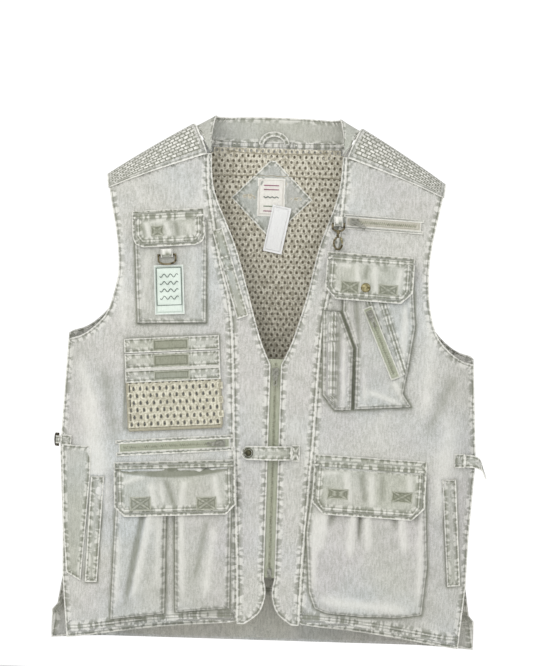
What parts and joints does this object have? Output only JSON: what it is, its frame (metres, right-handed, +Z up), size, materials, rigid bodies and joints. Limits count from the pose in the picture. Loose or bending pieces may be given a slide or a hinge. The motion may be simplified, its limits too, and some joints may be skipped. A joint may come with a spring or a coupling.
{
  "type": "fishing vest",
  "caption": "Sleeveless cotton fishing vest with a zipped front, mesh back lining, chest and cargo pockets with lifting flaps, side straps and clip-on hardware.",
  "frame": {"origin": "middle of the neck opening at the height of the two shoulder points, halfway between front and back", "axes": "+Z up as the vest hangs, +X towards the wearer's left, -Y towards the front"},
  "size_m": [0.6233, 0.1176, 0.7611],
  "materials": {
    "cotton": "garment-washed khaki cotton with pale worn seams",
    "faded_cotton": "faded khaki cotton, puckered along its stitching",
    "unfaded_cotton": "darker khaki cotton",
    "net": "khaki knitted mesh with slit holes",
    "zip_tape": "pale yellow-green woven tape with a moulded chain",
    "cream_tape": "cream woven tape with a metal chain",
    "silver_metal": "worn silver-grey plating",
    "bronze_metal": "aged dark bronze",
    "brass_metal": "aged pale brass",
    "dark_metal": "dark lacquered snap cap with a bare rim",
    "badge_cloth": "mint cotton with a stitched drawing",
    "label_cloth": "cream woven label",
    "card": "white card"
  },
  "bodies": {
    "vest": {"right_front_panel": "cotton", "right_front_band": "cotton", "left_front_panel": "cotton", "left_front_band": "cotton", "back_panel": "cotton", "back_lining": "net", "rear_pouch": "faded_cotton", "right_side_patch": "faded_cotton", "right_yoke": "cotton", "left_yoke": "cotton", "collar": "cotton", "neck_patch": "cotton", "neck_label": "label_cloth", "waist_zip_tape": "zip_tape", "chest_zip_tape": "cream_tape", "front_zip_right_tape": "zip_tape", "front_zip_left_tape": "zip_tape", "front_zip_box": "silver_metal", "right_chest_pocket": "faded_cotton", "ring_tab": "faded_cotton", "badge": "badge_cloth", "tool_pocket_upper_band": "faded_cotton", "tool_pocket_middle_band": "faded_cotton", "tool_pocket_lower_band": "faded_cotton", "mesh_pocket": "net", "lapel_strip": "unfaded_cotton", "right_cargo_header": "faded_cotton", "left_cargo_header": "faded_cotton", "right_cargo_rear_pocket": "faded_cotton", "right_cargo_front_pocket": "faded_cotton", "left_cargo_pocket": "faded_cotton", "left_chest_pocket": "faded_cotton", "pen_pocket": "faded_cotton", "slant_zip_tape": "zip_tape", "hook_tab": "cotton", "right_welt": "faded_cotton", "left_welt": "faded_cotton"},
    "front_zip_runner": {"front_zip_slider": "silver_metal"},
    "front_zip_puller": {"front_zip_pull": "silver_metal"},
    "waist_zip_runner": {"waist_zip_slider": "silver_metal"},
    "waist_zip_puller": {"waist_zip_pull": "silver_metal"},
    "chest_zip_runner": {"chest_zip_slider": "silver_metal"},
    "chest_zip_puller": {"chest_zip_pull": "silver_metal"},
    "slant_zip_runner": {"slant_zip_slider": "silver_metal"},
    "slant_zip_puller": {"slant_zip_pull": "silver_metal"},
    "right_chest_cover": {"right_chest_flap": "faded_cotton"},
    "left_chest_cover": {"left_chest_flap": "faded_cotton", "left_chest_snap_cap": "brass_metal"},
    "right_cargo_cover": {"right_cargo_flap": "faded_cotton"},
    "left_cargo_cover": {"left_cargo_flap": "faded_cotton"},
    "closing_tab": {"front_tab": "faded_cotton", "front_tab_snap_cap": "dark_metal"},
    "hanging_ring": {"d_ring": "bronze_metal"},
    "hook_swivel": {"hook_eye": "bronze_metal"},
    "trigger_hook": {"hook_body": "bronze_metal"},
    "hook_latch": {"hook_gate": "brass_metal"},
    "hanging_loop": {"hanger_loop": "cotton"},
    "card_tag": {"swing_tag": "card"},
    "waist_strap": {"left_waist_strap": "faded_cotton"},
    "side_ring": {"right_waist_ring": "bronze_metal"}
  },
  "joints": [
    {"name": "front_zip_run", "type": "slide", "parent": "vest", "child": "front_zip_runner", "axis": [0, 0, -1], "range_m": [0, 0.272]},
    {"name": "front_zip_pull_swing", "type": "hinge", "parent": "front_zip_runner", "child": "front_zip_puller", "pos_m": [0.007, -0.0453, -0.3565], "axis": [-1, 0, 0], "range_deg": [0, 165]},
    {"name": "waist_zip_run", "type": "slide", "parent": "vest", "child": "waist_zip_runner", "axis": [-0.9968, 0, -0.0802], "range_m": [0, 0.132]},
    {"name": "waist_zip_pull_swing", "type": "hinge", "parent": "waist_zip_runner", "child": "waist_zip_puller", "pos_m": [-0.06472, -0.0496, -0.46247], "axis": [-0.0802, 0, 0.9968], "range_deg": [0, 165]},
    {"name": "chest_zip_run", "type": "slide", "parent": "vest", "child": "chest_zip_runner", "axis": [0.999, -0.0028, -0.0436], "range_m": [0, 0.083]},
    {"name": "chest_zip_pull_swing", "type": "hinge", "parent": "chest_zip_runner", "child": "chest_zip_puller", "pos_m": [0.10945, -0.04268, -0.14011], "axis": [-0.5076, -0.0543, -0.8599], "range_deg": [0, 165]},
    {"name": "slant_zip_run", "type": "slide", "parent": "vest", "child": "slant_zip_runner", "axis": [0.3985, -0.0359, -0.9165], "range_m": [0, 0.086]},
    {"name": "slant_zip_pull_swing", "type": "hinge", "parent": "slant_zip_runner", "child": "slant_zip_puller", "pos_m": [0.13718, -0.05885, -0.2705], "axis": [-0.9172, -0.0176, -0.3981], "range_deg": [0, 165]},
    {"name": "right_chest_flap_lift", "type": "hinge", "parent": "vest", "child": "right_chest_cover", "pos_m": [-0.15269, -0.04273, -0.14277], "axis": [-0.9969, -0.005, -0.0785], "range_deg": [0, 150]},
    {"name": "left_chest_flap_lift", "type": "hinge", "parent": "vest", "child": "left_chest_cover", "pos_m": [0.13758, -0.04618, -0.19729], "axis": [-0.999, 0.0029, 0.0454], "range_deg": [0, 150]},
    {"name": "right_cargo_flap_lift", "type": "hinge", "parent": "vest", "child": "right_cargo_cover", "pos_m": [-0.13248, -0.04952, -0.49929], "axis": [-0.9984, 0, -0.0558], "range_deg": [0, 150]},
    {"name": "left_cargo_flap_lift", "type": "hinge", "parent": "vest", "child": "left_cargo_cover", "pos_m": [0.14591, -0.04952, -0.49229], "axis": [-0.9993, 0, 0.0384], "range_deg": [0, 150]},
    {"name": "front_tab_open", "type": "hinge", "parent": "vest", "child": "closing_tab", "pos_m": [0.0335, -0.0429, -0.474], "axis": [0, 0, 1], "range_deg": [0, 120]},
    {"name": "d_ring_swing", "type": "hinge", "parent": "vest", "child": "hanging_ring", "pos_m": [-0.15235, -0.04912, -0.19779], "axis": [0.9969, 0.005, 0.0785], "range_deg": [-100, 0]},
    {"name": "hook_eye_swing", "type": "hinge", "parent": "vest", "child": "hook_swivel", "pos_m": [0.09, -0.03842, -0.14575], "axis": [1, 0, 0], "range_deg": [-90, 0]},
    {"name": "hook_turn", "type": "hinge", "parent": "hook_swivel", "child": "trigger_hook", "pos_m": [0.0896, -0.04262, -0.14549], "axis": [0, 0.063, 0.998], "continuous": true},
    {"name": "hook_gate_press", "type": "hinge", "parent": "trigger_hook", "child": "hook_latch", "pos_m": [0.092, -0.04383, -0.16465], "axis": [0, 0.998, -0.063], "range_deg": [0, 25], "stiffness_Nm_per_rad": 0.002, "springref_deg": -5.73},
    {"name": "hanger_loop_fold", "type": "hinge", "parent": "vest", "child": "hanging_loop", "pos_m": [-0.005, 0.0231, -0.031], "axis": [1, 0, 0], "range_deg": [0, 150]},
    {"name": "swing_tag_sway", "type": "hinge", "parent": "vest", "child": "card_tag", "pos_m": [0.0025, 0.02664, -0.124], "axis": [0, 0.998, 0.063], "range_deg": [-25, 25]},
    {"name": "left_strap_swing", "type": "hinge", "parent": "vest", "child": "waist_strap", "pos_m": [0.2823, -0.0208, -0.4785], "axis": [0, 0, -1], "range_deg": [0, 100]},
    {"name": "right_ring_swing", "type": "hinge", "parent": "vest", "child": "side_ring", "pos_m": [-0.30252, -0.0029, -0.4665], "axis": [0, 0, 1], "range_deg": [0, 130]}
  ]
}
